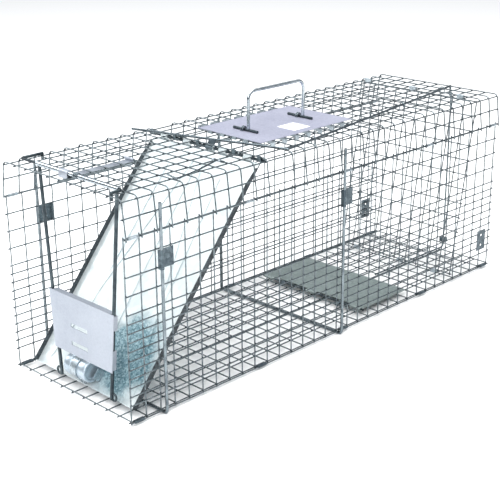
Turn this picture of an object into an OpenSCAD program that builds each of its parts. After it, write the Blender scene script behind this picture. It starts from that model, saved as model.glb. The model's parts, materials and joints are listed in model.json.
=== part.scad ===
// One-door live catch cage trap: welded wire cage, gravity drop door, swinging lock frame,
// treadle pan and trigger rod. Millimetres, +Z up, entrance towards -Y, origin on the ground
// below the middle of the cage.

/* [Cage] */
// Length of the cage, front edge to rear edge
cage_l = 812.8; // [600:0.1:1000]
// Width of the cage between the wall planes
cage_w = 254; // [220:0.1:320]
// Height of the side walls, up to the roof seams
wall_h = 254; // [220:0.1:320]
// Height of the roof plane above the lowest wall wire
cage_h = 304.8; // [270:0.1:380]
// Mesh pitch wanted, one inch; the real pitch divides each panel evenly
cell = 25.4; // [24:0.1:27]
// Height of the band with half-pitch rows at the foot of the walls
fine_h = 152.4; // [100:0.1:180]
// Diameter of the mesh wire
wire_d = 2; // [1.6:0.1:2.4]
// Length that a mesh wire runs on past the last wire it crosses
wire_stub = 1.5; // [0.5:0.1:2]
// Half width of the flat part of the roof
roof_half = 124; // [114:0.1:126]
// Bend radius of the roof's cross wires
roof_bend = 7; // [6:0.5:8]
// Cross wire left out of the roof for the latch, counted from the front
latch_gap_wire = 11; // [11:1:11]

/* [Rear panel] */
// Distance of the rear panel's foot from the front edge
rear_foot = 711; // [500:0.1:900]
// Distance of the rear panel's top from the front edge
rear_top = 762; // [540:0.1:960]

/* [Hoops] */
// Diameter of the reinforcing hoops, which are also the feet
hoop_d = 4.5; // [4:0.1:5]
// Height of the hoops' tips above the ground
hoop_top = 296; // [200:1:300]
// Wall wire that the front hoop stands behind
front_hoop_wire = 2; // [1:1:4]
// Wall wire that the middle hoop stands behind
middle_hoop_wire = 16; // [12:1:18]
// Side of the square hoop clip plates
hoop_clip = 26; // [18:1:30]
// Height of the hoop clips' middle above the ground
hoop_clip_z = 220; // [180:1:236]

/* [Door] */
// Distance of the door hinge from the front edge
hinge_back = 257; // [256.5:0.1:257.5]
// Diameter of the door hinge rod
hinge_rod_d = 4.5; // [4:0.1:4.5]
// Width of the door across its edge flanges
door_w = 222; // [180:1:224]
// Thickness of the door sheet
door_t = 1; // [0.8:0.1:1.2]
// Depth of the door's edge flanges
door_flange = 8; // [6:0.5:8]
// Distance of the door's lip from the front edge
lip_back = 18; // [16:0.5:20]
// Height of the door's lip above the ground
lip_z = 12; // [11.5:0.5:14]
// Diameter of the door weight
weight_d = 31; // [24:1:31]
// Length of the door weight
weight_l = 46; // [30:1:60]
// Width of the latch tab
tab_w = 14; // [10:1:14]
// Reach of the latch tab from the hinge axis
tab_reach = 12; // [10:0.5:12]
// Lean of the latch tab from the level, door closed
tab_lean = 68; // [67:0.5:70]

/* [Lock frame] */
// Distance of the lock tube from the front edge
lock_back = 19.8; // [19.4:0.1:20]
// Sideways place of the lock frame, to the right of the cage's middle plane
lock_x = 12; // [11.8:0.1:12.2]
// Outer diameter of the lock tube
lock_tube_d = 7; // [6:0.5:7]
// Length of the lock tube
lock_tube_l = 173; // [171:0.5:174]
// Diameter of the lock legs
lock_leg_d = 5; // [4:0.5:5]
// Half spread of the legs at the tube
leg_top_x = 82.4; // [82:0.1:82.6]
// Half spread of the legs at the foot
leg_foot_x = 55.4; // [50:0.1:62]
// Distance of the legs' feet from the front edge
leg_foot_back = 14.4; // [11:0.1:14.5]
// Height of the lock plate's lower edge above the ground
plate_low = 55.5; // [55:0.5:62]
// Height of the lock plate
plate_h = 85; // [70:1:88]
// Thickness of the lock plate
plate_t = 1; // [0.8:0.1:1]
// Depth of the flange folded back along the lock plate's upper edge
plate_flange = 9; // [6:0.5:10]
// Length of the slots in the lock plate
slot_l = 36; // [16:1:40]
// Width of the slots in the lock plate
slot_w = 6; // [4:0.5:8]

/* [Trigger] */
// Diameter of the trigger rod
trigger_d = 3.6; // [3:0.1:3.6]
// Travel of the trigger rod
trigger_travel = 5.5; // [5:0.1:5.5]
// Width of the pan
pan_w = 212; // [160:1:220]
// Length of the pan behind its pivot
pan_l = 112; // [80:1:120]
// Thickness of the pan sheet
pan_t = 0.8; // [0.6:0.1:1]
// Distance of the pan pivot from the front edge
pan_back = 490; // [489:0.5:493]
// Diameter of the pan pivot rod
pan_rod_d = 3.5; // [3:0.1:3.5]

/* [Handle] */
// Diameter of the carry handle
handle_d = 5; // [4:0.5:6]
// Distance of the handle's front leg from the front edge
handle_back = 339; // [330:1:345]
// Spread of the handle's legs
handle_l = 119; // [90:1:125]
// Height of the handle above the guard plate
handle_h = 58; // [45:1:70]
// Bend radius of the handle
handle_bend = 12; // [8:1:20]
// Diameter of the handle's foot rods
foot_d = 4; // [3:0.5:5]
// Width of the hand guard plate
guard_w = 132; // [100:1:140]
// Length of the hand guard plate
guard_l = 200; // [180:1:210]
// Distance of the hand guard plate from the front edge
guard_back = 304; // [300:1:306]
// Thickness of the hand guard plate
guard_t = 0.8; // [0.6:0.1:1.2]

/* [Fits] */
// Hairline gap between wires that the real cage has welded or touching
hair = 0.03; // [0.02:0.01:0.05]
// Gap between a pin and its bore, on the radius
pin_gap = 0.08; // [0.05:0.01:0.1]
// Wall of the crimped sheet clips
clip_t = 0.7; // [0.5:0.1:0.8]
// Gap between a crimped clip and its wires
clip_gap = 0.1; // [0.05:0.05:0.15]

/* [Hidden] */
$fn = 48;

r = wire_d / 2;
hoop_r = hoop_d / 2;

// Mesh pitches and counts
n_long = round(cage_l / cell);
pitch = cage_l / n_long;
n_wide = round(cage_w / cell);
n_rear = round(cage_h / cell);
roof_pitch = 2 * roof_half / n_wide;
rows_fine = round(fine_h / cell);
rows_wall = round(wall_h / cell);
row_pitch = wall_h / rows_wall;

// Levels
mesh_z = hoop_d + r + hair;
cross_z = mesh_z + wire_d + hair;
seam_z = mesh_z + wall_h;
roof_z = mesh_z + cage_h;
roof_long_z = roof_z - wire_d - hair;
roof_top = roof_z + r;
floor_top = cross_z + r;

// Wall layers, as distances from the middle plane
post_x = cage_w / 2 - r;
row_x = cage_w / 2 + r + hair;
floor_half = post_x - r - hair * 2 - r;
flange_x = row_x + 2 * r + hair * 2;
flange_out = flange_x + wire_d + hair;
hoop_x = flange_x + r + hoop_r + hair * 2;

front = -cage_l / 2;
front_hoop_y = front + front_hoop_wire * pitch + r + hoop_r + 1;
middle_hoop_y = front + middle_hoop_wire * pitch + r + hoop_r + 0.85;

// Door
hinge_y = front + hinge_back;
hinge_r = hinge_rod_d / 2;
hinge_z = roof_long_z - r - hinge_r - 0.2;
door_rise = hinge_z - lip_z;
door_run = hinge_back - lip_back;
door_angle = atan2(door_rise, door_run);
door_l = sqrt(door_rise * door_rise + door_run * door_run);
knuckle_r = hinge_r + pin_gap + door_t;
knuckle_w = 14;
sheet_w = -knuckle_r;
door_top_s = 12;
weight_s = door_l - 20;
weight_w = sheet_w + door_t + weight_d / 2 + 0.2;
weight_x = -3;
strap_t = 1.2;
foot_lens = [2, 12];
sheet_s = 4;
lip_h = 4;
crease_h = 1.5;
crease_w = 5;
knuckle_cells = [-3.5, -1.5, 0.5, 1.5, 3.5];
latch_x = 0.5 * roof_pitch - 1.9;
tab_t = 0.8;

// Lock frame
lock_y = front + lock_back;
lock_r = lock_tube_d / 2;
lock_bore_r = 2.2;
hanger_r = lock_bore_r - pin_gap;
lock_z = roof_top + hanger_r + 0.15;
leg_foot_z = mesh_z + 8;
leg_lean = atan2(lock_back - leg_foot_back, lock_z - leg_foot_z);
leg_drop = sqrt(pow(lock_back - leg_foot_back, 2) + pow(lock_z - leg_foot_z, 2));
leg_r = lock_leg_d / 2;
leg_splay = atan2(leg_top_x - leg_foot_x, leg_drop);
plate_drop = lock_z - plate_low;
plate_out = leg_r + hair * 2;
slot_places = [0.49, 0.8];
slot_x = -6;
tab_spans = [[0.02, 0.27], [0.62, 0.96]];
spring_x = 0.5 * roof_pitch;
spring_l = 10;
spring_d = 0.8;

// Trigger
trigger_r = trigger_d / 2;
trigger_z = roof_top + trigger_r + 0.1;
bend_x = roof_half - 5;
bend_y = front + 303;
bar_end_x = -(roof_half + 6);
bar_end_y = front + 229;
hook_x = 1.5 * roof_pitch;
hook_y = front + cage_l - 9.8;
hook_drop = 12;
link_r = 1.5;
link_z = floor_top + 8.5;
link_front_y = front + pan_back + pan_l + 9;
guide_cells = [14.5, 24.8, 30.4];
pan_rod_r = pan_rod_d / 2;
pan_y = front + pan_back;
pan_z = floor_top + pan_rod_r + 0.1;
lip_r = pan_rod_r + pin_gap + pan_t;
pan_rim = 3;

// Prop hook
hook_r = 1.25;
prop_y = front + 197.5;
prop_z = roof_top + hook_r + 0.1;
prop_x = 3.5 * roof_pitch;

guard_z = roof_top + 0.1;
handle_x = 6;
label_x = 17;
label_back = 389;
label_w = 35;
foot_z = guard_z + guard_t + foot_d / 2;
staple_r = 0.9;
staple_half = foot_d / 2 + 2.2;
staple_keep = r + staple_r + 0.05;
foot_ys = [front + foot_back(handle_back), front + foot_back(handle_back + handle_l)];
staple_xs = [-5.4, -2.4];

zinc = [0.72, 0.76, 0.78];
dark_zinc = [0.38, 0.42, 0.44];
pale_zinc = [0.84, 0.87, 0.92];
pan_zinc = [0.55, 0.61, 0.60];

// A straight round rod between two points
module rod(a, b, d) {
    v = b - a;
    translate(a)
        rotate([0, acos(v[2] / norm(v)), atan2(v[1], v[0])])
            cylinder(h = norm(v), d = d);
}

// One bend of a round rod, starting at the origin along +X and turning left by angle a
module rod_bend(d, bend, a) {
    turn = abs(a);
    side = a > 0 ? 1 : -1;
    translate([0, side * bend, 0])
        rotate([0, 0, a > 0 ? -90 : 90 - turn])
            rotate_extrude(angle = turn)
                translate([bend, 0])
                    circle(d = d);
}

// A round rod in the XY plane: legs is a list of [length, turn after it], starting along +X
module bent_rod(legs, d, bend, i = 0) {
    rotate([0, 90, 0])
        cylinder(h = legs[i][0], d = d);
    if (i < len(legs) - 1) {
        a = legs[i][1];
        side = a > 0 ? 1 : -1;
        translate([legs[i][0], 0, 0]) {
            rod_bend(d, bend, a);
            translate([0, side * bend, 0])
                rotate([0, 0, a])
                    translate([0, -side * bend, 0])
                        bent_rod(legs, d, bend, i + 1);
        }
    }
}

// A crimped sleeve around two parallel wires of radius r, standing along +Z from the origin;
// the wires are at the origin and at p, in the XY plane
module clip_sleeve(p, h, ra = r, rb = r) {
    difference() {
        clip_outline(p, h, ra + clip_gap + clip_t, rb + clip_gap + clip_t);
        translate([0, 0, -1])
            clip_outline(p, h + 2, ra + clip_gap, rb + clip_gap);
    }
}

module clip_outline(p, h, ra, rb) {
    n = norm(p);
    s = min(ra, rb) * 0.98;
    rotate([0, 0, atan2(p[1], p[0])]) {
        cylinder(h = h, r = ra);
        translate([n, 0, 0]) cylinder(h = h, r = rb);
        translate([0, -s, 0]) cube([n, 2 * s, h]);
    }
}

// A clip sleeve laid along Y, centred on y; the second wire is at dx, dz from the first
module clip_along_y(x, y, z, dx, dz, h, ra = r, rb = r) {
    translate([x, y + h / 2, z])
        rotate([90, 0, 0])
            clip_sleeve([dx, dz], h, ra, rb);
}

// A clip sleeve laid along X, centred on x; the second wire is at dy, dz from the first
module clip_along_x(x, y, z, dy, dz, h, ra = r, rb = r) {
    translate([x - h / 2, y, z])
        rotate([90, 0, 90])
            clip_sleeve([dy, dz], h, ra, rb);
}

function wire_y(k) = front + k * pitch;

// How far a distance from the front is from its nearest cross wire
function off_cross_wire(back) = abs(back - pitch * round(back / pitch));

// Moves a handle foot back until both legs of its staples stand clear of the cross wires
function foot_back(back) =
    min(off_cross_wire(back - staple_half), off_cross_wire(back + staple_half)) > staple_keep
        ? back : foot_back(back + 0.2);
function row_z(i) = mesh_z + (i <= 2 * rows_fine - 1
    ? (i == 0 ? 0 : (i + 1) * row_pitch / 2)
    : (i - rows_fine + 1) * row_pitch);
n_rows = rows_wall + rows_fine;

module floor_mesh() {
    color(zinc) {
        for (i = [0 : n_wide])
            let (x = -floor_half + i * 2 * floor_half / n_wide)
                rod([x, front - r - wire_stub, mesh_z], [x, -front + r + wire_stub, mesh_z], wire_d);
        for (k = [0 : n_long])
            rod([-floor_half - r, wire_y(k), cross_z], [floor_half + r, wire_y(k), cross_z], wire_d);
    }
}

module wall(side) {
    color(zinc) {
        for (k = [0 : n_long])
            rod([side * post_x, wire_y(k), mesh_z - r - wire_stub],
                [side * post_x, wire_y(k), seam_z + r + wire_stub], wire_d);
        for (i = [0 : n_rows - 1])
            rod([side * row_x, front - r - wire_stub, row_z(i)],
                [side * row_x, -front + r + wire_stub, row_z(i)], wire_d);
    }
}

// Lean of the roof's side flanges from the vertical
flange_lean = atan2(flange_out - roof_half - 2, cage_h - wall_h);
// Where the roof's bends begin, and the level of the long wires that lie inside the bends
bend_cut = roof_bend * tan((90 - flange_lean) / 2);
bend_start_x = flange_out - (roof_z - seam_z) * tan(flange_lean) - bend_cut;
edge_long_z = roof_z - roof_bend
    + sqrt(pow(roof_bend - wire_d - hair, 2) - pow(roof_half - bend_start_x, 2));

module roof_cross_wire(y) {
    drop = (roof_z - seam_z) / cos(flange_lean) - bend_cut + wire_stub + r;
    for (side = [-1, 1])
        scale([side, 1, 1])
            translate([0, y, roof_z])
                rotate([90, 0, 0])
                    bent_rod([[bend_start_x, flange_lean - 90], [drop, 0]], wire_d, roof_bend);
}

module roof_mesh() {
    lean_x = tan(flange_lean);
    color(zinc) {
        for (k = [0 : n_long])
            if (k != latch_gap_wire) roof_cross_wire(wire_y(k));
        for (i = [0 : n_wide])
            let (x = -roof_half + i * roof_pitch, z = i == 0 || i == n_wide ? edge_long_z : roof_long_z)
                rod([x, front - r - wire_stub, z], [x, -front + r + wire_stub, z], wire_d);
        for (side = [-1, 1], z = [seam_z, seam_z + row_pitch])
            let (x = side * (flange_out - (z - seam_z) * lean_x - (wire_d + hair) / cos(flange_lean)))
                rod([x, front - r - wire_stub, z], [x, -front + r + wire_stub, z], wire_d);
    }
}

rear_low_z = floor_top + r + 2.5;
rear_high_z = roof_long_z - r - 0.2;
rear_lean = atan2(rear_top - rear_foot, rear_high_z - rear_low_z);
rear_len = (rear_high_z - rear_low_z) / cos(rear_lean);
rear_row_pitch = (rear_len - wire_stub - r) / n_rear;
rear_half = floor_half - 4;

module rear_mesh() {
    color(zinc)
        translate([0, front + rear_foot, rear_low_z])
            rotate([-rear_lean, 0, 0]) {
                for (i = [0 : n_wide])
                    let (x = -rear_half + i * 2 * rear_half / n_wide)
                        rod([x, 0, -r - 1], [x, 0, rear_len - r], wire_d);
                for (i = [0 : n_rear])
                    rod([-rear_half - r - wire_stub, wire_d + hair, i * rear_row_pitch],
                        [rear_half + r + wire_stub, wire_d + hair, i * rear_row_pitch], wire_d);
            }
}

module hoop(y) {
    bend = hoop_x - row_x;
    color(dark_zinc)
        translate([0, y, hoop_r])
            rotate([90, 0, 0])
                for (side = [0, 1])
                    mirror([side, 0, 0])
                        bent_rod([[hoop_x - bend, 90], [hoop_top - hoop_r - bend, 0]], hoop_d, bend);
}

module front_hoop() { hoop(front_hoop_y); }
module middle_hoop() { hoop(middle_hoop_y); }

// A sheet plate on the wall's rows with a rolled channel that closes around the hoop
module hoop_clip(side, y) {
    in_x = row_x + r + 0.1;
    channel_r = hoop_r + clip_gap + clip_t;
    translate([0, y, hoop_clip_z - hoop_clip / 2])
        difference() {
            union() {
                translate([side > 0 ? in_x : -in_x - clip_t, -channel_r, 0])
                    cube([clip_t, hoop_clip, hoop_clip]);
                translate([side > 0 ? in_x : -hoop_x, -channel_r, 0])
                    cube([hoop_x - in_x, 2 * channel_r, hoop_clip]);
                translate([side * hoop_x, 0, 0])
                    cylinder(h = hoop_clip, r = channel_r);
            }
            translate([side * hoop_x, 0, -1])
                cylinder(h = hoop_clip + 2, r = hoop_r + clip_gap);
        }
}

module hoop_clips() {
    color(dark_zinc)
        for (side = [-1, 1], y = [front_hoop_y, middle_hoop_y])
            hoop_clip(side, y);
}

module rear_plates() {
    in_x = row_x + r + 0.1;
    color(dark_zinc)
        for (side = [-1, 1])
            translate([side > 0 ? in_x : -in_x - clip_t, wire_y(n_long - 1) - 13, mesh_z + 34])
                difference() {
                    cube([clip_t, 24, 36]);
                    for (z = [9, 27])
                        translate([-1, 12, z])
                            rotate([0, 90, 0])
                                cylinder(h = 3, r = 2.2);
                }
}

seam_cells = [0, 8, middle_hoop_wire + 0.1, 24, n_long - 1];
floor_cells = [0, 9, middle_hoop_wire + 0.1, 24, n_long - 1];

module seam_clips() {
    color(zinc)
        for (side = [-1, 1], k = seam_cells)
            clip_along_y(side * row_x, wire_y(k + 0.5), seam_z, side * (flange_x - row_x), 0, 16);
}

module floor_clips() {
    color(dark_zinc)
        for (side = [-1, 1], k = floor_cells)
            clip_along_y(side * row_x, wire_y(k + 0.5), mesh_z, side * (floor_half - row_x), 0, 16);
}

module rear_clips() {
    roof_wire_y = wire_y(round(rear_top / pitch));
    floor_wire_y = wire_y(round(rear_foot / pitch));
    top_row = [front + rear_foot + (n_rear * rear_row_pitch) * sin(rear_lean)
            + (wire_d + hair) * cos(rear_lean),
        rear_low_z + (n_rear * rear_row_pitch) * cos(rear_lean)
            - (wire_d + hair) * sin(rear_lean)];
    low_row = [front + rear_foot + (wire_d + hair) * cos(rear_lean),
        rear_low_z - (wire_d + hair) * sin(rear_lean)];
    color(zinc) {
        for (i = [-4.5, -0.5, 3.5])
            clip_along_x(i * roof_pitch, top_row[0], top_row[1],
                roof_wire_y - top_row[0], roof_z - top_row[1], 14);
        for (i = [-3.5, 0.5, 3.5])
            clip_along_x(i * roof_pitch, low_row[0], low_row[1],
                floor_wire_y - low_row[0], cross_z - low_row[1], 12);
    }
}

module hand_guard() {
    color(pale_zinc)
        difference() {
            translate([-guard_w / 2, front + guard_back, guard_z])
                cube([guard_w, guard_l, guard_t]);
            for (y = foot_ys, x = staple_xs, s = [-1, 1])
                translate([x, y + s * staple_half, guard_z - 1])
                    cylinder(h = guard_t + 2, r = staple_r + 0.3);
        }
}

// A J-shaped sheet tab that hooks a wire: along is its length, reach the way to the wire,
// drop the depth of its lower lip; it starts at the origin and reaches towards +X
module hook_tab(reach, drop, along) {
    lip = 3.2;
    rotate([90, 0, 0])
        translate([0, 0, -along / 2])
            linear_extrude(along)
                polygon([[0, 0], [0, tab_t], [reach, tab_t], [reach, -drop], [reach - lip, -drop],
                    [reach - lip, tab_t - drop], [reach - tab_t, tab_t - drop], [reach - tab_t, 0]]);
}

module guard_clips() {
    side_reach = 3 * roof_pitch + r + 0.2 + tab_t - guard_w / 2;
    side_drop = guard_z - (roof_long_z - r - 0.2) + tab_t;
    end_drop = guard_z - (roof_z - r - 0.2) + tab_t;
    first = ceil(guard_back / pitch);
    front_reach = guard_back - (first * pitch - r - 0.2 - tab_t);
    color(zinc) {
        for (side = [-1, 1], k = [0 : floor(guard_l / pitch) - 1])
            translate([side * (guard_w / 2 + hair), wire_y(first + k + 0.5), guard_z])
                rotate([0, 0, side > 0 ? 0 : 180])
                    hook_tab(side_reach - hair, side_drop, 9);
        for (i = [-1.5, -0.5, 0.5, 1.5])
            translate([i * roof_pitch, front + guard_back - hair, guard_z])
                rotate([0, 0, -90])
                    hook_tab(max(front_reach, 2.4), end_drop, 9);
    }
}

module blank_label() {
    color("white")
        translate([label_x, front + label_back, guard_z + guard_t + hair])
            cube([label_w, label_w, 0.3]);
}

module carry_handle() {
    top = foot_z + foot_d / 2 + handle_h - handle_d / 2;
    low = foot_z + foot_d / 2 + hair;
    rise = top - low - handle_bend;
    color(zinc)
        translate([handle_x, foot_ys[0], low])
            rotate([90, -90, 90])
                mirror([0, 1, 0])
                    bent_rod([[rise, 90], [foot_ys[1] - foot_ys[0] - 2 * handle_bend, 90], [rise, 0]],
                        handle_d, handle_bend);
}

module handle_feet() {
    color(dark_zinc)
        for (y = foot_ys)
            rod([-25, y, foot_z], [25, y, foot_z], foot_d);
}

// A wire staple standing across X at the origin: its arch is centred on z = 0
module staple(half, wire, depth) {
    for (side = [-1, 1])
        translate([side * half, 0, -depth])
            cylinder(h = depth, d = wire);
    rotate([90, 0, 0])
        rotate_extrude(angle = 180)
            translate([half, 0])
                circle(d = wire);
}

module handle_staples() {
    color(zinc)
        for (y = foot_ys, x = staple_xs)
            translate([x, y, foot_z + foot_d / 2 - staple_half + staple_r + 1.5])
                rotate([0, 0, 90])
                    staple(staple_half, 2 * staple_r, foot_z - roof_long_z);
}

module door_hinge_rod() {
    color(dark_zinc)
        rod([-roof_half + 3, hinge_y, hinge_z], [roof_half - 3, hinge_y, hinge_z], hinge_rod_d);
}

module hinge_clips() {
    k = floor(hinge_back / pitch);
    color(dark_zinc)
        for (i = [-4.5, -2.5, -0.5, 2.5, 4.5])
            clip_along_x(i * roof_pitch, hinge_y, hinge_z,
                wire_y(k) - hinge_y, roof_z - hinge_z, 6, hinge_r, r);
}

// A hook that carries one end of the lock tube: a pin in the tube that turns along the cage on
// top of the roof and ends in a short drop through the mesh. side is -1 left, 1 right
module lock_hanger(side, out_x, tail) {
    bend = 4;
    pin_in = 12;
    start_x = lock_x + side * (lock_tube_l / 2 - pin_in);
    end_y = lock_y - side * (bend + tail);
    drop = 10;
    translate([start_x, lock_y, lock_z])
        rotate([0, 0, side > 0 ? 0 : 180])
            bent_rod([[side * (out_x - start_x) - bend, -90], [tail, 0]], 2 * hanger_r, bend);
    translate([out_x, end_y, lock_z])
        sphere(r = hanger_r * 1.03);
    rod([out_x, end_y, lock_z], [out_x, end_y, lock_z - drop], 2 * hanger_r);
}

module lock_hangers() {
    reach = r + hanger_r + 0.2;
    bend = 4;
    beside = r + hanger_r + 1.2;
    color(dark_zinc) {
        lock_hanger(-1, -4.5 * roof_pitch, 2 * pitch + reach - lock_back - bend);
        lock_hanger(1, 4 * roof_pitch + beside, lock_back - reach - bend);
    }
}

// A sheet strap that closes over the middle of the lock tube, runs back under the roof
// and curls round a cross wire
module lock_strap() {
    strap_w = roof_pitch - 2 * r - 4;
    sheet = 0.8;
    saddle_in = lock_r + 0.1;
    saddle_out = saddle_in + sheet;
    under_top = roof_long_z - r - 0.2;
    end_wire = 5;
    end_y = wire_y(end_wire) - lock_y;
    curl_out = r + clip_gap + sheet;
    low = under_top - lock_z;
    color(pale_zinc)
        translate([-roof_pitch / 2 - strap_w / 2, lock_y, lock_z])
            rotate([90, 0, 90])
                linear_extrude(strap_w)
                    difference() {
                        union() {
                            circle(r = saddle_out);
                            translate([-saddle_out, low - sheet])
                                square([2 * saddle_out, sheet - low]);
                            translate([-saddle_out, low - sheet])
                                square([end_y + saddle_out, sheet]);
                            translate([end_y - sheet / 2, low - sheet])
                                square([sheet, roof_z - lock_z - low + sheet]);
                            translate([end_y, roof_z - lock_z])
                                circle(r = curl_out);
                        }
                        circle(r = saddle_in);
                        translate([-saddle_in, low])
                            square([2 * saddle_in, -low]);
                        translate([end_y, roof_z - lock_z])
                            circle(r = r + clip_gap);
                    }
}

// The torsion spring's coil is a plain sleeve round the tube, with its two tails
module lock_spring() {
    in_r = lock_r + pin_gap;
    out_r = in_r + spring_d;
    tail_z = lock_z - in_r - spring_d / 2;
    color(dark_zinc) {
        translate([spring_x - spring_l / 2, lock_y, lock_z])
            rotate([0, 90, 0])
                difference() {
                    cylinder(h = spring_l, r = out_r);
                    translate([0, 0, -1])
                        cylinder(h = spring_l + 2, r = in_r);
                }
        for (x = [-1, 1])
            rod([spring_x + x * (spring_l / 2 - spring_d), lock_y, tail_z],
                [spring_x + x * (spring_l / 2 - spring_d), lock_y + 4 + 8 * x, tail_z - 8], spring_d);
    }
}

// Where the trigger rod's long arm runs at a distance along the cage
function arm_x(y) = bend_x + (hook_x - bend_x) * (y - bend_y) / (hook_y - bend_y);

// How far a place across the roof is from its nearest long wire
function off_long_wire(x) = abs(x - roof_pitch * round(x / roof_pitch));

// Moves a guide back along the arm until both its legs stand clear of the roof's wires
function guide_cell(k, half, keep) =
    min(off_long_wire(arm_x(wire_y(k)) - half), off_long_wire(arm_x(wire_y(k)) + half),
        pitch * abs(k - round(k))) > keep ? k : guide_cell(k + 0.1, half, keep);

module trigger_guides() {
    wire = 1.8;
    slack = 1.3;
    half = trigger_r + slack + wire / 2;
    keep = r + wire / 2 + 0.05;
    color(zinc) {
        for (start = guide_cells)
            let (k = guide_cell(start, half, keep))
                translate([arm_x(wire_y(k)), wire_y(k), trigger_z])
                    staple(half, wire, trigger_z - roof_long_z + 3);
        translate([hook_x, wire_y(25.5), link_z])
            staple(link_r + 0.6 + wire / 2, wire, link_z - mesh_z + 1);
    }
}

module pan_pivot_rod() {
    color(dark_zinc)
        rod([-pan_w / 2 - 5, pan_y, pan_z], [pan_w / 2 + 5, pan_y, pan_z], pan_rod_d);
}

module pan_rod_clips() {
    k = floor(pan_back / pitch);
    color(zinc)
        for (i = [-2.5, 2.5])
            clip_along_x(i * 2 * floor_half / n_wide, pan_y, pan_z,
                wire_y(k) - pan_y, cross_z - pan_z, 6, pan_rod_r, r);
}

module hook_clips() {
    k = ceil((prop_y - front) / pitch);
    color(zinc)
        for (x = [-1, 1])
            clip_along_x(prop_x + x * 6, prop_y, prop_z, wire_y(k) - prop_y, roof_z - prop_z, 4, hook_r, r);
}

// Puts its children in the door's own frame: origin on the hinge axis, -Y down the door,
// +Z out of its outer face
module on_door() {
    translate([0, hinge_y, hinge_z])
        rotate([door_angle, 0, 0])
            children();
}

module door_knuckle() {
    rotate([90, 0, 90])
        translate([0, 0, -knuckle_w / 2])
            linear_extrude(knuckle_w)
                difference() {
                    union() {
                        circle(r = knuckle_r);
                        translate([-sheet_s - 0.5, -knuckle_r])
                            square([sheet_s + 0.5, door_t]);
                    }
                    circle(r = hinge_r + pin_gap);
                }
}

// A raised crease on the door's outer face, as a long thin triangle
module door_crease(top_x, low_x, top_s, low_s) {
    translate([0, 0, sheet_w + door_t - 0.2])
        linear_extrude(crease_h + 0.2)
            polygon([[top_x, -top_s], [low_x - crease_w, -low_s], [low_x + crease_w, -low_s]]);
}

module door_panel() {
    half = door_w / 2;
    flange_low = door_l;
    flange_full = door_top_s + 30;
    color(pale_zinc)
        on_door() {
            translate([-half, -door_l, sheet_w])
                cube([door_w, door_l - sheet_s, door_t]);
            for (i = knuckle_cells)
                translate([i * roof_pitch, 0, 0])
                    door_knuckle();
            for (side = [-1, 1])
                translate([side > 0 ? half - door_t : -half, 0, 0])
                    rotate([90, 0, 90])
                        linear_extrude(door_t)
                            polygon([[-flange_low, sheet_w], [-flange_low, sheet_w + door_flange],
                                [-flange_full, sheet_w + door_flange],
                                [-door_top_s, sheet_w + door_flange / 2], [-door_top_s, sheet_w]]);
            translate([-half, -door_l, sheet_w])
                cube([door_w, door_t, lip_h]);
            for (side = [-1, 1]) {
                door_crease(side * 10, side * 92, 26, door_l - 14);
                door_crease(side * 55, side * 68, 40, door_l - 70);
            }
            door_crease(0, 0, 40, door_l - 90);
        }
}

module latch_tab() {
    in_r = knuckle_r + hair;
    out_r = in_r + tab_t;
    color(dark_zinc)
        translate([latch_x - tab_w / 2, hinge_y, hinge_z])
            rotate([90, 0, 90])
                linear_extrude(tab_w)
                    rotate(tab_lean)
                        difference() {
                            union() {
                                circle(r = out_r);
                                translate([in_r - 0.5, -tab_t / 2])
                                    square([tab_reach - in_r + 0.5, tab_t]);
                            }
                            circle(r = in_r);
                            rotate(-30)
                                translate([-2 * out_r, -2 * out_r])
                                    square([4 * out_r, 2 * out_r]);
                        }
}

module door_weight() {
    color(zinc)
        on_door()
            translate([weight_x - weight_l / 2, -weight_s, weight_w])
                rotate([0, 90, 0])
                    cylinder(h = weight_l, d = weight_d);
}

// The strap that holds the weight: half a band over it with two feet on the door
module weight_strap() {
    band_w = 12;
    in_r = weight_d / 2 + 0.05;
    out_r = in_r + strap_t;
    face = sheet_w + door_t + hair - weight_w;
    color(dark_zinc)
        on_door() {
            translate([weight_x - band_w / 2, -weight_s, weight_w])
                rotate([90, 0, 90])
                    linear_extrude(band_w)
                        difference() {
                            union() {
                                circle(r = out_r);
                                translate([-out_r, face])
                                    square([2 * out_r, -face]);
                                translate([-out_r - foot_lens[0], face])
                                    square([2 * out_r + foot_lens[0] + foot_lens[1], strap_t]);
                            }
                            circle(r = in_r);
                            translate([-in_r, face - 1])
                                square([2 * in_r, 1 - face]);
                            translate([-2 * out_r, face - 4 * out_r])
                                square([4 * out_r, 4 * out_r]);
                        }
            translate([weight_x + weight_l / 2 + 4, -weight_s - 8, sheet_w + door_t + hair])
                cube([strap_t, 16, 14]);
        }
}

module weight_rivets() {
    face = sheet_w + door_t + hair + strap_t + hair;
    out = weight_d / 2 + 0.05 + strap_t + foot_lens[1] / 2 + 1;
    color(zinc)
        on_door()
            for (x = [-3, 3])
                translate([weight_x + x, -weight_s + out, face])
                    cylinder(h = 1.5, r = 2);
}

// Puts its children in the lock frame's own frame: origin on the tube's axis, -Z down the legs
module on_lock() {
    translate([lock_x, lock_y, lock_z])
        rotate([-leg_lean, 0, 0])
            children();
}

// Half spread of the legs at a distance below the tube
function leg_x(drop) = leg_top_x - (leg_top_x - leg_foot_x) * drop / leg_drop;

module lock_tube() {
    color(pale_zinc)
        translate([lock_x - lock_tube_l / 2, lock_y, lock_z])
            rotate([0, 90, 0])
                difference() {
                    cylinder(h = lock_tube_l, r = lock_r);
                    translate([0, 0, -1])
                        cylinder(h = lock_tube_l + 2, r = lock_bore_r);
                }
}

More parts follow.
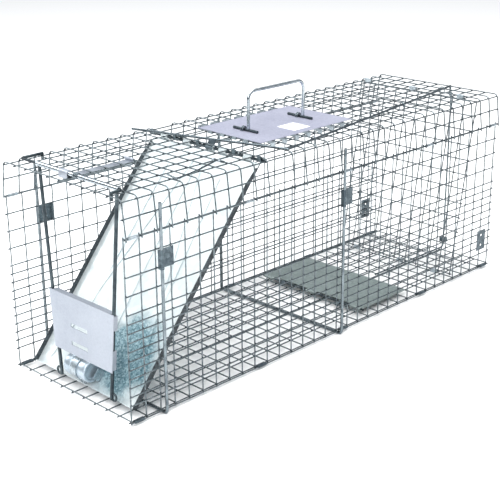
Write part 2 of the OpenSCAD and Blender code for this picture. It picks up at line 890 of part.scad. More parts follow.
module lock_leg(side) {
    loop_r = 5;
    loop_d = 3.2;
    color(dark_zinc)
        on_lock() {
            difference() {
                rod([side * leg_x(0), 0, 0], [side * leg_x(leg_drop), 0, -leg_drop], lock_leg_d);
                translate([-lock_tube_l, 0, 0])
                    rotate([0, 90, 0])
                        cylinder(h = 2 * lock_tube_l, r = lock_r + hair);
            }
            translate([side * (leg_x(leg_drop) + loop_r), 0, -leg_drop + loop_r])
                rotate([90, 0, 0])
                    rotate_extrude()
                        translate([loop_r, 0])
                            circle(d = loop_d);
        }
}

// One side tab of the lock plate: it folds back outside a leg and closes behind it
module leg_tab(side, span) {
    high = plate_drop - plate_h;
    drop = high + (span[0] + span[1]) / 2 * plate_h;
    tab_l = (span[1] - span[0]) * plate_h;
    wrap = leg_r + hair;
    start = -plate_out - plate_t / 2;
    back_lip = 3;
    translate([side * leg_x(drop), 0, -drop])
        rotate([0, side * leg_splay, 0])
            translate([0, 0, -tab_l / 2])
                linear_extrude(tab_l)
                    polygon([for (p = [[wrap, start], [wrap + plate_t, start],
                        [wrap + plate_t, wrap + plate_t], [wrap - back_lip, wrap + plate_t],
                        [wrap - back_lip, wrap], [wrap, wrap]]) [side * p[0], p[1]]]);
}

module lock_plate() {
    low = plate_drop;
    high = plate_drop - plate_h;
    front_y = -plate_out - plate_t;
    edge = (leg_r + hair + plate_t + 0.3) / cos(leg_splay);
    flange_half = leg_x(high) - leg_r - 0.6;
    color(pale_zinc)
        on_lock() {
            difference() {
                translate([0, -plate_out, 0])
                    rotate([90, 0, 0])
                        linear_extrude(plate_t)
                            polygon([[-leg_x(low) - edge, -low], [leg_x(low) + edge, -low],
                                [leg_x(high) + edge, -high], [-leg_x(high) - edge, -high]]);
                for (f = slot_places)
                    translate([slot_x - slot_l / 2, front_y - 1, -high - f * plate_h - slot_w / 2])
                        cube([slot_l, plate_t + 2, slot_w]);
            }
            translate([-flange_half, front_y + plate_t / 2, -high - plate_t - 0.1])
                cube([2 * flange_half, plate_flange, plate_t]);
            for (side = [-1, 1], span = tab_spans)
                leg_tab(side, span);
        }
}

module trigger_rod() {
    ball = trigger_r * 1.03;
    color(dark_zinc) {
        rod([bar_end_x, bar_end_y, trigger_z], [bend_x, bend_y, trigger_z], trigger_d);
        translate([bend_x, bend_y, trigger_z])
            sphere(r = ball);
        rod([bend_x, bend_y, trigger_z], [hook_x, hook_y, trigger_z], trigger_d);
        translate([hook_x, hook_y, trigger_z])
            sphere(r = ball);
        rod([hook_x, hook_y, trigger_z], [hook_x, hook_y, roof_long_z - hook_drop], trigger_d);
    }
}

// The link hangs from the trigger rod's hook, drops behind the rear panel and runs
// forward over the floor to the pan
module trip_link() {
    eye_r = trigger_r + 0.2 + link_r;
    top = roof_long_z - hook_drop + 4;
    back = hook_y + eye_r;
    bend = 6;
    color(zinc) {
        translate([hook_x, hook_y, top])
            rotate_extrude()
                translate([eye_r, 0])
                    circle(r = link_r);
        translate([hook_x, back, top])
            rotate([0, 90, 0])
                rotate([0, 0, 0])
                    bent_rod([[top - link_z - bend, -90], [back - link_front_y - bend, 0]], 2 * link_r, bend);
    }
}

module link_clip() {
    back = hook_y + trigger_r + 0.2 + link_r;
    color(dark_zinc)
        translate([hook_x, back, link_z + 10])
            difference() {
                translate([-6, -4, 0])
                    cube([12, 8, 8]);
                translate([0, 0, -1])
                    cylinder(h = 10, r = link_r + hair);
            }
}

module pan() {
    sheet_z = pan_z + lip_r - pan_t;
    start_y = pan_y + lip_r + 0.6;
    end_y = pan_y + pan_l;
    half = pan_w / 2;
    lip_w = 22;
    color(pan_zinc) {
        translate([-half, start_y, sheet_z])
            cube([pan_w, end_y - start_y, pan_t]);
        for (side = [-1, 1])
            translate([side > 0 ? half - pan_t : -half, start_y, sheet_z - pan_rim])
                cube([pan_t, end_y - start_y, pan_rim + pan_t]);
        translate([-half, end_y - pan_t, sheet_z - pan_rim])
            cube([pan_w, pan_t, pan_rim + pan_t]);
        for (x = [-1, 0, 1])
            translate([x * (half - lip_w / 2) - lip_w / 2, pan_y, pan_z])
                rotate([90, 0, 90])
                    linear_extrude(lip_w)
                        difference() {
                            union() {
                                circle(r = lip_r);
                                translate([0, lip_r - pan_t])
                                    square([start_y - pan_y + 0.5, pan_t]);
                            }
                            circle(r = pan_rod_r + pin_gap);
                        }
    }
}

module prop_hook() {
    path = [[prop_x, prop_y], [104, front + 146], [114, front + 101], [89, front + 107]];
    color(zinc) {
        rod([prop_x - 9, prop_y, prop_z], [prop_x + 9, prop_y, prop_z], 2 * hook_r);
        for (i = [0 : 2])
            rod([path[i][0], path[i][1], prop_z], [path[i + 1][0], path[i + 1][1], prop_z], 2 * hook_r);
        for (i = [1 : 2])
            translate([path[i][0], path[i][1], prop_z])
                sphere(r = hook_r * 1.03);
    }
}

floor_mesh();
wall(-1);  // left_wall_mesh
wall(1);  // right_wall_mesh
roof_mesh();
rear_mesh();
front_hoop();
middle_hoop();
hoop_clips();
rear_plates();
seam_clips();
floor_clips();
rear_clips();
hand_guard();
guard_clips();
blank_label();
carry_handle();
handle_feet();
handle_staples();
door_hinge_rod();
hinge_clips();
lock_hangers();
lock_strap();
lock_spring();
trigger_guides();
pan_pivot_rod();
pan_rod_clips();
hook_clips();
door_panel();
latch_tab();
door_weight();
weight_strap();
weight_rivets();
lock_tube();
lock_leg(-1);  // left_lock_leg
lock_leg(1);  // right_lock_leg
lock_plate();
trigger_rod();
trip_link();
link_clip();
pan();
prop_hook();
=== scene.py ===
import math
import random

import bmesh
import bpy
from mathutils import Matrix, Vector
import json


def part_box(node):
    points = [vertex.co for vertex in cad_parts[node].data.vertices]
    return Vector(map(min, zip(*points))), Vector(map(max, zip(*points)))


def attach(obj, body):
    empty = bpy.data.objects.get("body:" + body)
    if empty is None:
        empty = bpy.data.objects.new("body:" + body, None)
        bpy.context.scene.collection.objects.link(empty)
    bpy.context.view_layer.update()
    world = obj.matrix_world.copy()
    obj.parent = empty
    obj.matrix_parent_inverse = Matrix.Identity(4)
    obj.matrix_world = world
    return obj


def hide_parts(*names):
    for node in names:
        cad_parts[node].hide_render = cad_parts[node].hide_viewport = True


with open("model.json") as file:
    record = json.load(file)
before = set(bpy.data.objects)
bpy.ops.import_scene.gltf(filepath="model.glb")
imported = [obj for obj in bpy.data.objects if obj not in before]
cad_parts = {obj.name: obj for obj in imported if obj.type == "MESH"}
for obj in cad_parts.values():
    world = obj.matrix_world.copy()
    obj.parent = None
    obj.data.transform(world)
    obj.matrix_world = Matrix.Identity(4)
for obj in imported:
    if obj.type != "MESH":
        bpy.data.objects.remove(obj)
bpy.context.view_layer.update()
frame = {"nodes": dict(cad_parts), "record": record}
nodes = frame["nodes"]

# ---------------------------------------------------------------- sizes
MM = 0.001
WIRE_R = 1.0 * MM
STUB = 1.5 * MM
HAIR = 0.03 * MM
LAYER = 2 * WIRE_R + HAIR  # from the middle of one layer of wires to the next
CELLS_LONG, CELLS_WIDE, CELLS_REAR = 32, 10, 12
FINE_ROWS, WALL_ROWS = 6, 10
LATCH_GAP_WIRE = 11
ROOF_BEND = 7 * MM
ROOF_HALF = 124 * MM
REAR_FOOT_BACK, REAR_LEAN_RUN = 711 * MM, 51 * MM
WAVINESS = 0.10 * MM
LEG_STEPS, BEND_STEPS = 3, 6
WELD_SWELL = 1.55
DOOR_EDGE_SHEET = 1.1 * MM
LIP_BACK, LIP_HEIGHT = 18 * MM, 12 * MM

rng = random.Random(11)


# ---------------------------------------------------------------- materials
def new_material(name):
    """A new material, with its node tree and its main shader."""
    mat = bpy.data.materials.new(name)
    mat.use_nodes = True
    tree = mat.node_tree
    shader = tree.nodes["Principled BSDF"]
    return mat, tree, shader


def add(tree, kind, **values):
    """A new node; each value goes to the node's own setting or to the input of that name."""
    node = tree.nodes.new(kind)
    for key, value in values.items():
        if hasattr(node, key):
            setattr(node, key, value)
        else:
            node.inputs[key.replace("_", " ")].default_value = value
    return node


def ramp(tree, source, stops):
    """A colour ramp on a value; stops are (place, colour)."""
    node = tree.nodes.new("ShaderNodeValToRGB")
    points = node.color_ramp.elements
    while len(points) < len(stops):
        points.new(0.5)
    for point, (place, colour) in zip(points, stops):
        point.position = place
        point.color = (*colour, 1)
    tree.links.new(source, node.inputs["Fac"])
    return node


def object_coords(tree, shift=(0, 0, 0)):
    """Where a point lies on the object, in metres, moved by shift."""
    coords = tree.nodes.new("ShaderNodeTexCoord")
    place = tree.nodes.new("ShaderNodeMapping")
    place.inputs["Location"].default_value = shift
    tree.links.new(coords.outputs["Object"], place.inputs["Vector"])
    return place.outputs["Vector"]


def mix_colour(tree, factor, a, b):
    """Two colours blended; each argument is a socket or a plain value."""
    node = tree.nodes.new("ShaderNodeMix")
    node.data_type = "RGBA"
    # the node has a set of sockets for each kind of data: these are the ones for colours
    blend_in, first_in, second_in, colour_out = 0, 6, 7, 2
    for place, value in ((blend_in, factor), (first_in, a), (second_in, b)):
        socket = node.inputs[place]
        if isinstance(value, bpy.types.NodeSocket):
            tree.links.new(value, socket)
        elif isinstance(value, (int, float)):
            socket.default_value = value
        else:
            socket.default_value = (*value, 1)
    return node.outputs[colour_out]


def bump(tree, shader, height, strength, distance):
    """Fine relief on the shader's surface from a height value."""
    node = tree.nodes.new("ShaderNodeBump")
    node.inputs["Strength"].default_value = strength
    node.inputs["Distance"].default_value = distance
    tree.links.new(height, node.inputs["Height"])
    tree.links.new(node.outputs["Normal"], shader.inputs["Normal"])


def uneven_gloss(tree, shader, source, rough_at_low, rough_at_high):
    """The shader's roughness follows a value from one end to the other."""
    dull = tree.nodes.new("ShaderNodeMapRange")
    dull.inputs["To Min"].default_value = rough_at_low
    dull.inputs["To Max"].default_value = rough_at_high
    tree.links.new(source, dull.inputs["Value"])
    tree.links.new(dull.outputs["Result"], shader.inputs["Roughness"])


def zinc_rod(name, light, dark, rough_low, rough_high, patch=90.0):
    """Drawn wire with a zinc coat: cloudy tone, fine drawn grain and dull patches."""
    mat, tree, shader = new_material(name)
    cloud = add(tree, "ShaderNodeTexNoise", Scale=patch, Detail=6.0, Roughness=0.65)
    grain = add(tree, "ShaderNodeTexNoise", Scale=1500.0, Detail=2.0)
    where = object_coords(tree)
    tree.links.new(where, cloud.inputs["Vector"])
    tree.links.new(where, grain.inputs["Vector"])
    tone = ramp(tree, cloud.outputs["Fac"], [(0.30, dark), (0.62, light)])
    tree.links.new(tone.outputs["Color"], shader.inputs["Base Color"])
    uneven_gloss(tree, shader, cloud.outputs["Fac"], rough_high, rough_low)
    shader.inputs["Metallic"].default_value = 1.0
    bump(tree, shader, grain.outputs["Fac"], strength=0.25, distance=0.08 * MM)
    return mat


def spangled_sheet(name, light, mid, dark, spangle, rough_low, rough_high, contrast=0.5, metal=0.85):
    """Galvanised sheet: angular crystals of zinc over slow clouds of tone.

    spangle is how many crystals there are to a metre, contrast how much they show.
    Returns the material with its tree, its shader and the colour, for those who add to it.
    """
    mat, tree, shader = new_material(name)
    where = object_coords(tree)
    warp = add(tree, "ShaderNodeTexNoise", Scale=spangle * 1.3, Detail=3.0)
    tree.links.new(where, warp.inputs["Vector"])
    bent = tree.nodes.new("ShaderNodeVectorMath")
    bent.operation = "MULTIPLY_ADD"
    bent.inputs[1].default_value = (4 * MM, 4 * MM, 4 * MM)
    tree.links.new(warp.outputs["Color"], bent.inputs[0])
    tree.links.new(where, bent.inputs[2])
    crystal = add(tree, "ShaderNodeTexVoronoi", Scale=spangle)
    tree.links.new(bent.outputs["Vector"], crystal.inputs["Vector"])
    grey = tree.nodes.new("ShaderNodeSeparateColor")
    tree.links.new(crystal.outputs["Color"], grey.inputs["Color"])
    cloud = add(tree, "ShaderNodeTexNoise", Scale=14.0, Detail=5.0, Roughness=0.6)
    tree.links.new(where, cloud.inputs["Vector"])
    base = ramp(tree, cloud.outputs["Fac"], [(0.30, mid), (0.60, light)])
    tone = ramp(tree, grey.outputs["Red"], [(0.0, dark), (0.55, mid), (1.0, light)])
    mixed = mix_colour(tree, contrast, base.outputs["Color"], tone.outputs["Color"])
    tree.links.new(mixed, shader.inputs["Base Color"])
    uneven_gloss(tree, shader, grey.outputs["Green"], rough_low, rough_high)
    shader.inputs["Metallic"].default_value = metal
    bump(tree, shader, grey.outputs["Blue"], strength=0.12, distance=0.2 * MM)
    return mat, tree, shader, mixed


MAT_WIRE = zinc_rod("bright zinc wire", (0.20, 0.235, 0.25), (0.055, 0.07, 0.08), 0.18, 0.38)
# the weld nuggets are real, but their near-black colour is painted shade standing in for the shadows at the
# wire crossings
MAT_WELD_SHADE = zinc_rod("weld nugget", (0.05, 0.06, 0.07), (0.015, 0.018, 0.022), 0.35, 0.60)
MAT_ROD = zinc_rod("zinc rod", (0.22, 0.26, 0.28), (0.08, 0.10, 0.115), 0.16, 0.36, 60.0)
MAT_DARK_ROD = zinc_rod("dark zinc rod", (0.075, 0.095, 0.105), (0.02, 0.027, 0.033), 0.20, 0.40, 60.0)
MAT_CHROME = zinc_rod("polished handle rod", (0.50, 0.55, 0.58), (0.24, 0.28, 0.31), 0.10, 0.24, 60.0)
MAT_CLIP = spangled_sheet(
    "clip strip", (0.14, 0.18, 0.20), (0.06, 0.08, 0.095), (0.02, 0.03, 0.04),
    spangle=240.0, rough_low=0.25, rough_high=0.5)[0]
MAT_PALE_CLIP = spangled_sheet(
    "bright clip strip", (0.50, 0.56, 0.60), (0.30, 0.35, 0.38), (0.14, 0.17, 0.19),
    spangle=240.0, rough_low=0.22, rough_high=0.45)[0]
MAT_GUARD = spangled_sheet(
    "guard sheet", (0.35, 0.36, 0.44), (0.29, 0.30, 0.38), (0.22, 0.23, 0.30),
    spangle=420.0, rough_low=0.40, rough_high=0.6, contrast=0.35, metal=0.35)[0]
MAT_LOCK = spangled_sheet(
    "lock plate sheet", (0.36, 0.39, 0.44), (0.30, 0.33, 0.38), (0.22, 0.25, 0.30),
    spangle=520.0, rough_low=0.30, rough_high=0.45, contrast=0.22, metal=0.55)[0]
MAT_PAN = spangled_sheet(
    "pan sheet", (0.34, 0.40, 0.39), (0.25, 0.30, 0.29), (0.16, 0.20, 0.20),
    spangle=260.0, rough_low=0.35, rough_high=0.5, contrast=0.5, metal=0.6)[0]
MAT_WEIGHT = spangled_sheet(
    "weight zinc", (0.52, 0.60, 0.66), (0.36, 0.43, 0.49), (0.18, 0.23, 0.28),
    spangle=620.0, rough_low=0.28, rough_high=0.45, contrast=0.3, metal=0.75)[0]


def door_material():
    """The door's sheet is nearly white, with a mottled blue-grey patch of painted shade low on its right
    side.
    """
    mat, tree, shader, mixed = spangled_sheet(
        "door sheet", (0.66, 0.71, 0.71), (0.52, 0.58, 0.60), (0.36, 0.43, 0.46),
        spangle=110.0, rough_low=0.30, rough_high=0.50, contrast=0.30, metal=0.40)
    # the patch worked out here is painted shade: a mottled blue-grey darkening low on the door's right side
    low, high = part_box("door_panel")
    span = high - low
    centre = Vector((high.x - span.x * 0.27, low.y + span.y * 0.17, low.z + span.z * 0.17))
    where = object_coords(tree, shift=(-centre.x, -centre.y, -centre.z))
    stretch = tree.nodes.new("ShaderNodeVectorMath")
    stretch.operation = "MULTIPLY"
    stretch.inputs[1].default_value = (1 / (span.x * 0.25), 1 / (span.y * 0.21), 1 / (span.z * 0.21))
    tree.links.new(where, stretch.inputs[0])
    away = tree.nodes.new("ShaderNodeVectorMath")
    away.operation = "LENGTH"
    tree.links.new(stretch.outputs["Vector"], away.inputs[0])
    ragged = add(tree, "ShaderNodeTexNoise", Scale=38.0, Detail=4.0)
    tree.links.new(object_coords(tree), ragged.inputs["Vector"])
    edge = tree.nodes.new("ShaderNodeMath")
    edge.operation = "ADD"
    tree.links.new(away.outputs["Value"], edge.inputs[0])
    tree.links.new(ragged.outputs["Fac"], edge.inputs[1])
    shade_reach = tree.nodes.new("ShaderNodeMapRange")
    shade_reach.inputs["From Min"].default_value = 1.75
    shade_reach.inputs["From Max"].default_value = 1.25
    tree.links.new(edge.outputs["Value"], shade_reach.inputs["Value"])
    shade_fleck = add(tree, "ShaderNodeTexVoronoi", Scale=430.0)
    tree.links.new(object_coords(tree), shade_fleck.inputs["Vector"])
    parts = tree.nodes.new("ShaderNodeSeparateColor")
    tree.links.new(shade_fleck.outputs["Color"], parts.inputs["Color"])
    shade_mottle = ramp(tree, parts.outputs["Red"],
                  [(0.0, (0.06, 0.13, 0.16)), (0.5, (0.14, 0.25, 0.29)), (1.0, (0.32, 0.45, 0.49))])
    # painted shade laid over the sheet's own colour inside the patch
    patch = mix_colour(tree, shade_reach.outputs["Result"], mixed, shade_mottle.outputs["Color"])
    # the folded edge flanges are painted dark: painted shade standing in for the dark reflection they show
    sides = tree.nodes.new("ShaderNodeSeparateXYZ")
    tree.links.new(object_coords(tree), sides.inputs["Vector"])
    width = tree.nodes.new("ShaderNodeMath")
    width.operation = "ABSOLUTE"
    tree.links.new(sides.outputs["X"], width.inputs[0])
    on_flange = tree.nodes.new("ShaderNodeMath")
    on_flange.operation = "GREATER_THAN"
    on_flange.inputs[1].default_value = high.x - DOOR_EDGE_SHEET
    tree.links.new(width.outputs["Value"], on_flange.inputs[0])
    # painted shade: the near-black colour of the edge flanges
    flange_painted_shade = mix_colour(tree, parts.outputs["Green"], (0.015, 0.020, 0.024), (0.06, 0.075, 0.085))
    final = mix_colour(tree, on_flange.outputs["Value"], patch, flange_painted_shade)
    tree.links.new(final, shader.inputs["Base Color"])
    return mat


MAT_DOOR_WITH_PAINTED_SHADE = door_material()


def label_material():
    """Plain white paper with a faint fibre."""
    mat, tree, shader = new_material("blank label")
    fibre = add(tree, "ShaderNodeTexNoise", Scale=900.0, Detail=3.0)
    tree.links.new(object_coords(tree), fibre.inputs["Vector"])
    tone = ramp(tree, fibre.outputs["Fac"], [(0.3, (0.84, 0.85, 0.88)), (0.7, (0.93, 0.93, 0.95))])
    tree.links.new(tone.outputs["Color"], shader.inputs["Base Color"])
    shader.inputs["Roughness"].default_value = 0.55
    return mat


MAT_LABEL = label_material()


# ---------------------------------------------------------------- mesh helpers
def stand_for(piece, node_name, body):
    """The piece takes the place of one CAD node on its body."""
    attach(piece, body)
    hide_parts(node_name)


def mesh_object(name, verts, edges=(), faces=()):
    mesh = bpy.data.meshes.new(name)
    mesh.from_pydata([tuple(v) for v in verts], edges, faces)
    obj = bpy.data.objects.new(name, mesh)
    bpy.context.scene.collection.objects.link(obj)
    return obj


def evaluated(obj, name):
    """The object's modifiers turned into a plain mesh object; the source is removed."""
    graph = bpy.context.evaluated_depsgraph_get()
    mesh = bpy.data.meshes.new_from_object(obj.evaluated_get(graph), depsgraph=graph)
    mesh.name = name
    obj.modifiers.clear()
    result = bpy.data.objects.new(name, mesh)
    bpy.context.scene.collection.objects.link(result)
    source = obj.data
    bpy.data.objects.remove(obj)
    if isinstance(source, bpy.types.Mesh):
        bpy.data.meshes.remove(source)
    return result


def wire_tree():
    """Edges become round wires, and loose points marked weld become nuggets of uneven size."""
    smallest, largest = 0.86, 1.12
    most_turn = 3.0
    tree = bpy.data.node_groups.new("wires and welds", "GeometryNodeTree")
    face = tree.interface
    face.new_socket("Paths", in_out="INPUT", socket_type="NodeSocketGeometry")
    for name, value in (("Wire Radius", WIRE_R), ("Weld Radius", WELD_SWELL * WIRE_R)):
        socket = face.new_socket(name, in_out="INPUT", socket_type="NodeSocketFloat")
        socket.default_value = value
    sides = face.new_socket("Sides", in_out="INPUT", socket_type="NodeSocketInt")
    sides.default_value = 10
    seed = face.new_socket("Seed", in_out="INPUT", socket_type="NodeSocketInt")
    seed.default_value = 3
    face.new_socket("Finish", in_out="INPUT", socket_type="NodeSocketMaterial")
    face.new_socket("Weld Shade Finish", in_out="INPUT", socket_type="NodeSocketMaterial")
    face.new_socket("Geometry", in_out="OUTPUT", socket_type="NodeSocketGeometry")

    def node(kind, **values):
        made = tree.nodes.new(kind)
        for key, value in values.items():
            setattr(made, key, value)
        return made

    link = tree.links.new
    given = node("NodeGroupInput")
    result = node("NodeGroupOutput")
    curve = node("GeometryNodeMeshToCurve")
    ring = node("GeometryNodeCurvePrimitiveCircle")
    tube = node("GeometryNodeCurveToMesh")
    smooth = node("GeometryNodeSetShadeSmooth")
    link(given.outputs["Paths"], curve.inputs["Mesh"])
    link(given.outputs["Sides"], ring.inputs["Resolution"])
    link(given.outputs["Wire Radius"], ring.inputs["Radius"])
    link(curve.outputs["Curve"], tube.inputs["Curve"])
    link(ring.outputs["Curve"], tube.inputs["Profile Curve"])
    tube.inputs["Fill Caps"].default_value = True
    link(tube.outputs["Mesh"], smooth.inputs["Geometry"])

    marked = node("GeometryNodeInputNamedAttribute", data_type="BOOLEAN")
    marked.inputs["Name"].default_value = "weld"
    points = node("GeometryNodeMeshToPoints")
    link(given.outputs["Paths"], points.inputs["Mesh"])
    link(marked.outputs["Attribute"], points.inputs["Selection"])
    nugget = node("GeometryNodeMeshUVSphere")
    nugget.inputs["Segments"].default_value = 8
    nugget.inputs["Rings"].default_value = 5
    link(given.outputs["Weld Radius"], nugget.inputs["Radius"])
    round_nugget = node("GeometryNodeSetShadeSmooth")
    link(nugget.outputs["Mesh"], round_nugget.inputs["Geometry"])
    tag = node("GeometryNodeStoreNamedAttribute", data_type="BOOLEAN", domain="FACE")
    tag.inputs["Name"].default_value = "nugget"
    tag.inputs["Value"].default_value = True
    link(round_nugget.outputs["Geometry"], tag.inputs["Geometry"])
    size = node("FunctionNodeRandomValue", data_type="FLOAT_VECTOR")
    size.inputs["Min"].default_value = (smallest, smallest, smallest)
    size.inputs["Max"].default_value = (largest, largest, largest)
    link(given.outputs["Seed"], size.inputs["Seed"])
    turn = node("FunctionNodeRandomValue", data_type="FLOAT_VECTOR")
    turn.inputs["Max"].default_value = (most_turn, most_turn, most_turn)
    link(given.outputs["Seed"], turn.inputs["Seed"])
    place = node("GeometryNodeInstanceOnPoints")
    link(points.outputs["Points"], place.inputs["Points"])
    link(tag.outputs["Geometry"], place.inputs["Instance"])
    link(size.outputs["Value"], place.inputs["Scale"])
    link(turn.outputs["Value"], place.inputs["Rotation"])
    join = node("GeometryNodeJoinGeometry")
    link(smooth.outputs["Geometry"], join.inputs["Geometry"])
    link(place.outputs["Instances"], join.inputs["Geometry"])
    real = node("GeometryNodeRealizeInstances")
    finish = node("GeometryNodeSetMaterial")
    link(join.outputs["Geometry"], real.inputs["Geometry"])
    link(real.outputs["Geometry"], finish.inputs["Geometry"])
    link(given.outputs["Finish"], finish.inputs["Material"])
    tagged = node("GeometryNodeInputNamedAttribute", data_type="BOOLEAN")
    tagged.inputs["Name"].default_value = "nugget"
    # the nuggets get the weld material, whose near-black colour is painted shade
    weld_shade_finish = node("GeometryNodeSetMaterial")
    link(finish.outputs["Geometry"], weld_shade_finish.inputs["Geometry"])
    link(tagged.outputs["Attribute"], weld_shade_finish.inputs["Selection"])
    link(given.outputs["Weld Shade Finish"], weld_shade_finish.inputs["Material"])
    link(weld_shade_finish.outputs["Geometry"], result.inputs["Geometry"])
    return tree


WIRE_TREE = wire_tree()


def socket_ids(tree):
    """The identifier of each of the tree's inputs, by name."""
    return {item.name: item.identifier for item in tree.interface.items_tree
            if item.item_type == "SOCKET" and item.in_out == "INPUT"}


def wire_piece(name, node_name, body, paths, welds, finish, radius=WIRE_R, sides=10):
    """Wires along paths with weld nuggets at points, standing for one CAD node."""
    verts, edges = [], []
    for path in paths:
        start = len(verts)
        verts += path
        edges += [(start + i, start + i + 1) for i in range(len(path) - 1)]
    first_weld = len(verts)
    verts += welds
    obj = mesh_object(name + "_paths", verts, edges)
    mark = obj.data.attributes.new("weld", "BOOLEAN", "POINT")
    for i in range(first_weld, len(verts)):
        mark.data[i].value = True
    made = obj.modifiers.new("wires", "NODES")
    made.node_group = WIRE_TREE
    ids = socket_ids(WIRE_TREE)
    made[ids["Wire Radius"]] = radius
    made[ids["Weld Radius"]] = WELD_SWELL * radius
    made[ids["Sides"]] = sides
    made[ids["Seed"]] = len(name)
    made[ids["Finish"]] = finish
    made[ids["Weld Shade Finish"]] = MAT_WELD_SHADE
    stand_for(evaluated(obj, name), node_name, body)


def steps(a, b, count):
    """A straight path in short steps, with the slight waviness of drawn wire."""
    a, b = Vector(a), Vector(b)
    along = (b - a).normalized()
    points = []
    for i in range(count + 1):
        p = a.lerp(b, i / count)
        if 0 < i < count:
            wobble = Vector([rng.uniform(-WAVINESS, WAVINESS) for _ in range(3)])
            p = p + wobble - along * wobble.dot(along)
        points.append(p)
    return points


# ---------------------------------------------------------------- mesh panels
def floor_panel():
    low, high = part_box("floor_mesh")
    half = high.x - WIRE_R
    front, rear = low.y + WIRE_R + STUB, high.y - WIRE_R - STUB
    pitch = (rear - front) / CELLS_LONG
    long_z, cross_z = low.z + WIRE_R, high.z - WIRE_R
    xs = [-half + i * 2 * half / CELLS_WIDE for i in range(CELLS_WIDE + 1)]
    ys = [front + k * pitch for k in range(CELLS_LONG + 1)]
    paths = [steps((x, low.y, long_z), (x, high.y, long_z), CELLS_LONG) for x in xs]
    paths += [steps((low.x, y, cross_z), (high.x, y, cross_z), CELLS_WIDE) for y in ys]
    welds = [Vector((x, y, (long_z + cross_z) / 2)) for x in xs[1:-1] for y in ys]
    wire_piece("floor_wires", "floor_mesh", "cage", paths, welds, MAT_WIRE)


def wall_panel(side):
    """One wall, closer rows at its foot; returns where its rows run across and its seam's height."""
    name = "right_wall" if side > 0 else "left_wall"
    low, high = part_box(name + "_mesh")
    inner = (low.x if side > 0 else high.x) + side * WIRE_R
    outer = (high.x if side > 0 else low.x) - side * WIRE_R
    front, rear = low.y + WIRE_R + STUB, high.y - WIRE_R - STUB
    base, top = low.z + WIRE_R + STUB, high.z - WIRE_R - STUB
    row = (top - base) / WALL_ROWS
    pitch = (rear - front) / CELLS_LONG
    zs = [base] + [base + (i + 1) * row / 2 for i in range(1, 2 * FINE_ROWS)]
    zs += [base + i * row for i in range(FINE_ROWS + 1, WALL_ROWS + 1)]
    ys = [front + k * pitch for k in range(CELLS_LONG + 1)]
    paths = [steps((inner, y, low.z), (inner, y, high.z), WALL_ROWS) for y in ys]
    paths += [steps((outer, low.y, z), (outer, high.y, z), CELLS_LONG) for z in zs]
    welds = [Vector(((inner + outer) / 2, y, z)) for y in ys for z in zs]
    wire_piece(name + "_wires", name + "_mesh", "cage", paths, welds, MAT_WIRE)
    return outer, top


def roof_panel(row_x, seam_z):
    """The roof: cross wires bent down at both ends, where two rows hold them to the walls."""
    low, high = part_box("roof_mesh")
    half = ROOF_HALF
    front, rear = low.y + WIRE_R + STUB, high.y - WIRE_R - STUB
    pitch = (rear - front) / CELLS_LONG
    cross_z = high.z - WIRE_R
    long_z = cross_z - LAYER
    flange_out = row_x + 4 * WIRE_R + 3 * HAIR
    rise = cross_z - seam_z
    lean = math.atan2(flange_out - half - 2 * WIRE_R, rise)
    corner_x = flange_out - rise * math.tan(lean)
    turn = math.pi / 2 - lean
    cut = ROOF_BEND * math.tan(turn / 2)
    inner = ROOF_BEND - LAYER
    edge_z = cross_z - ROOF_BEND + math.sqrt(inner ** 2 - (half - corner_x + cut) ** 2)
    drop_end = Vector((corner_x, 0, cross_z)) + Vector((math.sin(lean), 0, -math.cos(lean))) * (
        rise / math.cos(lean) + STUB + WIRE_R)
    ys = [front + k * pitch for k in range(CELLS_LONG + 1)]
    paths, welds = [], []
    step = 2 * half / CELLS_WIDE
    row = (seam_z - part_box("floor_mesh")[0].z - WIRE_R) / WALL_ROWS
    flange_wires = []
    for z in (seam_z, seam_z + row):
        x = flange_out - (z - seam_z) * math.tan(lean) - LAYER / math.cos(lean)
        flange_wires.append((x, z))
    for k, y in enumerate(ys):
        if k == LATCH_GAP_WIRE:
            continue
        path = []
        for side in (-1, 1):
            start = Vector((side * (corner_x - cut), y, cross_z))
            centre = start + Vector((0, 0, -ROOF_BEND))
            down = Vector((side * math.sin(lean), 0, -math.cos(lean)))
            corner = Vector((side * corner_x, y, cross_z))
            finish = corner + down * cut
            tip = Vector((side * drop_end.x, y, drop_end.z))
            leg = [tip] + [tip.lerp(finish, i / LEG_STEPS) for i in range(1, LEG_STEPS)] + [finish]
            bend = [centre + Matrix.Rotation(side * turn * i / BEND_STEPS, 3, "Y") @ Vector((0, 0, ROOF_BEND))
                    for i in range(BEND_STEPS - 1, 0, -1)]
            half_path = leg + bend + [start]
            path = half_path if side < 0 else path + list(reversed(half_path))
        spread = [-half + i * step for i in range(1, CELLS_WIDE)]
        middle = len(path) // 2
        path[middle:middle] = [Vector((x, y, cross_z + rng.uniform(-WAVINESS, 0))) for x in spread]
        paths.append(path)
        welds += [Vector((-half + i * step, y, cross_z - WIRE_R)) for i in range(1, CELLS_WIDE)]
        welds += [Vector((side * (half + 0.5 * WIRE_R), y, edge_z + 0.8 * WIRE_R)) for side in (-1, 1)]
        for x, z in flange_wires:
            welds += [Vector((side * (x + WIRE_R), y, z)) for side in (-1, 1)]
    for i in range(CELLS_WIDE + 1):
        x = -half + i * step
        z = edge_z if i in (0, CELLS_WIDE) else long_z
        paths.append(steps((x, low.y, z), (x, high.y, z), CELLS_LONG))
    for x, z in flange_wires:
        for side in (-1, 1):
            paths.append(steps((side * x, low.y, z), (side * x, high.y, z), CELLS_LONG))
    wire_piece("roof_wires", "roof_mesh", "cage", paths, welds, MAT_WIRE)


